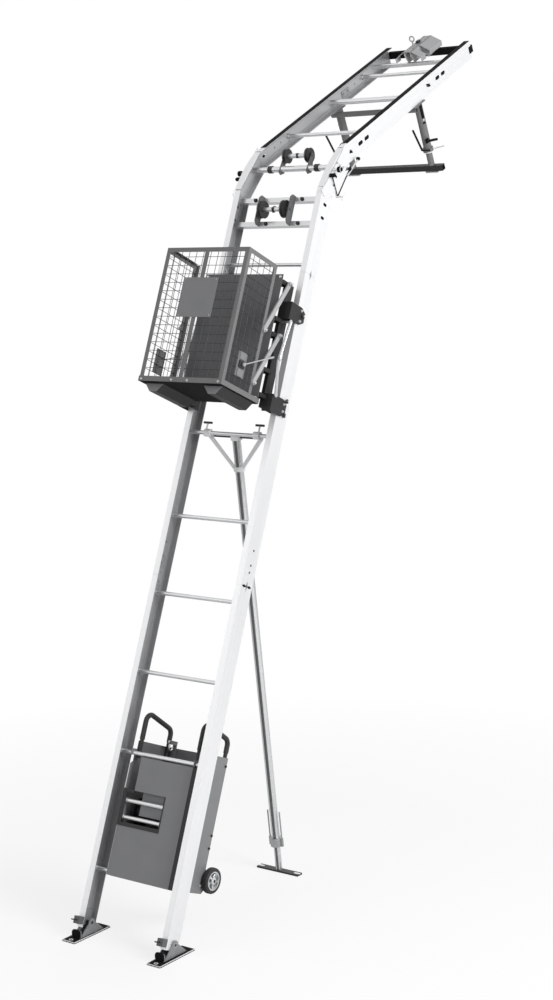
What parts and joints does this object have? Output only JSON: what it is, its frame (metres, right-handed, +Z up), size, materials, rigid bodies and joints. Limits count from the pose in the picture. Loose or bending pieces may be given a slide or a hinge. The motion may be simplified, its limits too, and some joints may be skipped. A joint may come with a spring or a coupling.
{
  "type": "inclined material hoist",
  "caption": "Leaning ladder hoist with a foot winch, telescopic prop, hinged knee and top section, roof support, and a roller carriage carrying a swinging mesh cage.",
  "frame": {"origin": "centre of the bounding box at ground level, midway between the rails", "axes": "+X across the ladder to its right seen from the front, +Y back the way the ladder leans, +Z up"},
  "size_m": [0.818, 3.7178, 5.6928],
  "materials": {
    "aluminium": "mill finish, satin",
    "steel": "zinc plated",
    "drum_metal": "cast, painted",
    "grey_paint": "powder coat",
    "dark_paint": "powder coat",
    "black_plastic": "moulded",
    "rubber": "matt",
    "tyre": "matt"
  },
  "bodies": {
    "ladder": {"base_rail_left": "aluminium", "base_rail_right": "aluminium", "upper_rail_left": "aluminium", "upper_rail_right": "aluminium", "stub_rails": "aluminium", "ladder_rungs": "aluminium", "stub_crossbars": "aluminium", "rail_splices": "dark_paint", "bottom_stops": "rubber", "foot_pins": "steel", "winch_cover": "grey_paint", "winch_sides": "grey_paint", "winch_shell": "dark_paint", "winch_handles": "dark_paint", "gear_motor": "drum_metal", "wheel_axle": "steel", "block_plates": "steel"},
    "foot_left": {"foot_left": "grey_paint"},
    "foot_right": {"foot_right": "grey_paint"},
    "winch_drum": {"winch_drum": "drum_metal"},
    "fairlead_upper": {"fairlead_upper": "steel"},
    "fairlead_lower": {"fairlead_lower": "steel"},
    "winch_wheels": {"winch_wheels": "tyre"},
    "snap_hook": {"snap_hook": "steel"},
    "block_sheaves": {"block_sheaves": "black_plastic"},
    "prop": {"prop_yoke": "grey_paint", "prop_tube": "aluminium", "prop_clamp": "grey_paint"},
    "prop_leg": {"prop_leg": "aluminium", "prop_foot": "dark_paint"},
    "carriage": {"carriage_frame": "dark_paint", "roller_brackets": "grey_paint", "back_panel": "dark_paint"},
    "front_rollers_upper": {"front_rollers_upper": "black_plastic"},
    "front_rollers_lower": {"front_rollers_lower": "black_plastic"},
    "counter_rollers_upper": {"counter_rollers_upper": "black_plastic"},
    "counter_rollers_lower": {"counter_rollers_lower": "black_plastic"},
    "catch_levers": {"catch_levers": "steel"},
    "upper_links": {"upper_links": "steel"},
    "lower_links": {"lower_links": "steel"},
    "cage": {"cage_frame": "grey_paint", "cage_tray": "dark_paint", "cage_mesh": "grey_paint", "sign_plate": "grey_paint"},
    "latch_left": {"latch_left": "steel"},
    "latch_right": {"latch_right": "steel"},
    "knee": {"knee_rails": "aluminium", "knee_plates": "steel", "knee_block": "steel"},
    "knee_sheaves": {"knee_sheaves": "black_plastic"},
    "top": {"top_rails": "aluminium", "head_rails": "aluminium", "top_rungs": "aluminium", "top_splices": "dark_paint", "top_trim": "black_plastic", "head_hood": "grey_paint", "support_sleeves": "grey_paint"},
    "head_sheave": {"head_sheave": "black_plastic"},
    "support": {"support_legs": "steel", "support_bar": "dark_paint"}
  },
  "joints": [
    {"name": "foot_left_tilt", "type": "hinge", "parent": "ladder", "child": "foot_left", "pos_m": [-0.319, -1.68492, 0.0787], "axis": [1, 0, 0], "range_deg": [-15, 15]},
    {"name": "foot_right_tilt", "type": "hinge", "parent": "ladder", "child": "foot_right", "pos_m": [0.319, -1.68492, 0.0787], "axis": [1, 0, 0], "range_deg": [-15, 15]},
    {"name": "drum_turn", "type": "hinge", "parent": "ladder", "child": "winch_drum", "pos_m": [0, -1.30431, 0.68613], "axis": [1, 0, 0], "continuous": true},
    {"name": "fairlead_upper_turn", "type": "hinge", "parent": "ladder", "child": "fairlead_upper", "pos_m": [-0.073, -1.42632, 0.79125], "axis": [1, 0, 0], "continuous": true},
    {"name": "fairlead_lower_turn", "type": "hinge", "parent": "ladder", "child": "fairlead_lower", "pos_m": [-0.073, -1.46188, 0.69565], "axis": [1, 0, 0], "continuous": true},
    {"name": "winch_wheels_turn", "type": "hinge", "parent": "ladder", "child": "winch_wheels", "pos_m": [0, -1.2133, 0.31407], "axis": [1, 0, 0], "continuous": true},
    {"name": "snap_hook_swing", "type": "hinge", "parent": "ladder", "child": "snap_hook", "pos_m": [-0.174, -1.04987, 1.07482], "axis": [1, 0, 0], "range_deg": [-25, 25]},
    {"name": "block_sheaves_turn", "type": "hinge", "parent": "ladder", "child": "block_sheaves", "pos_m": [0, -0.15633, 4.38976], "axis": [1, 0, 0], "continuous": true},
    {"name": "prop_fold", "type": "hinge", "parent": "ladder", "child": "prop", "pos_m": [0, -0.61511, 2.98401], "axis": [1, 0, 0], "range_deg": [-18, 0]},
    {"name": "prop_extend", "type": "slide", "parent": "prop", "child": "prop_leg", "axis": [0, 0.1599, -0.9871], "range_m": [0, 0.4]},
    {"name": "carriage_travel", "type": "slide", "parent": "ladder", "child": "carriage", "axis": [0, 0.3486, 0.9373], "range_m": [-3.15, 0.6]},
    {"name": "front_rollers_upper_turn", "type": "hinge", "parent": "carriage", "child": "front_rollers_upper", "pos_m": [0, -0.43065, 3.73907], "axis": [1, 0, 0], "continuous": true},
    {"name": "front_rollers_lower_turn", "type": "hinge", "parent": "carriage", "child": "front_rollers_lower", "pos_m": [0, -0.6377, 3.18232], "axis": [1, 0, 0], "continuous": true},
    {"name": "counter_rollers_upper_turn", "type": "hinge", "parent": "carriage", "child": "counter_rollers_upper", "pos_m": [0, -0.38228, 3.72108], "axis": [1, 0, 0], "continuous": true},
    {"name": "counter_rollers_lower_turn", "type": "hinge", "parent": "carriage", "child": "counter_rollers_lower", "pos_m": [0, -0.58934, 3.16434], "axis": [1, 0, 0], "continuous": true},
    {"name": "catch_levers_swing", "type": "hinge", "parent": "carriage", "child": "catch_levers", "pos_m": [0, -0.4933, 3.68449], "axis": [1, 0, 0], "range_deg": [-8, 0]},
    {"name": "cage_lift", "type": "hinge", "parent": "carriage", "child": "upper_links", "pos_m": [0, -0.44361, 3.91566], "axis": [1, 0, 0], "range_deg": [-50, 0]},
    {"name": "lower_links_turn", "type": "hinge", "parent": "carriage", "child": "lower_links", "pos_m": [0, -0.56073, 3.60073], "axis": [1, 0, 0], "range_deg": [-50, 0]},
    {"name": "cage_level", "type": "hinge", "parent": "upper_links", "child": "cage", "pos_m": [0, -0.72464, 3.64237], "axis": [1, 0, 0], "range_deg": [0, 50]},
    {"name": "latch_left_turn", "type": "hinge", "parent": "cage", "child": "latch_left", "pos_m": [-0.3325, -0.95525, 3.44114], "axis": [1, 0, 0], "range_deg": [0, 60]},
    {"name": "latch_right_turn", "type": "hinge", "parent": "cage", "child": "latch_right", "pos_m": [0.3325, -0.95525, 3.44114], "axis": [1, 0, 0], "range_deg": [0, 60]},
    {"name": "knee_lower", "type": "hinge", "parent": "ladder", "child": "knee", "pos_m": [0, -0.08521, 4.51215], "axis": [1, 0, 0], "range_deg": [0, 11]},
    {"name": "knee_upper", "type": "hinge", "parent": "knee", "child": "top", "pos_m": [0, 0.13806, 4.76229], "axis": [1, 0, 0], "range_deg": [0, 11]},
    {"name": "knee_sheaves_turn", "type": "hinge", "parent": "knee", "child": "knee_sheaves", "pos_m": [0, 0.12055, 4.74268], "axis": [1, 0, 0], "continuous": true},
    {"name": "head_sheave_turn", "type": "hinge", "parent": "top", "child": "head_sheave", "pos_m": [0, 1.73243, 5.59808], "axis": [1, 0, 0], "continuous": true},
    {"name": "support_slide", "type": "slide", "parent": "top", "child": "support", "axis": [0, 0.4524, -0.8918], "range_m": [-0.06, 0.12]}
  ],
  "couplings": [
    {"joint": "front_rollers_upper_turn", "follows": "carriage_travel", "rad_per_m": -33.333},
    {"joint": "front_rollers_lower_turn", "follows": "carriage_travel", "rad_per_m": -33.333},
    {"joint": "counter_rollers_upper_turn", "follows": "carriage_travel", "rad_per_m": 62.5},
    {"joint": "counter_rollers_lower_turn", "follows": "carriage_travel", "rad_per_m": 62.5},
    {"joint": "lower_links_turn", "follows": "cage_lift", "ratio": 1},
    {"joint": "cage_level", "follows": "cage_lift", "ratio": -1},
    {"joint": "knee_upper", "follows": "knee_lower", "ratio": 1}
  ]
}
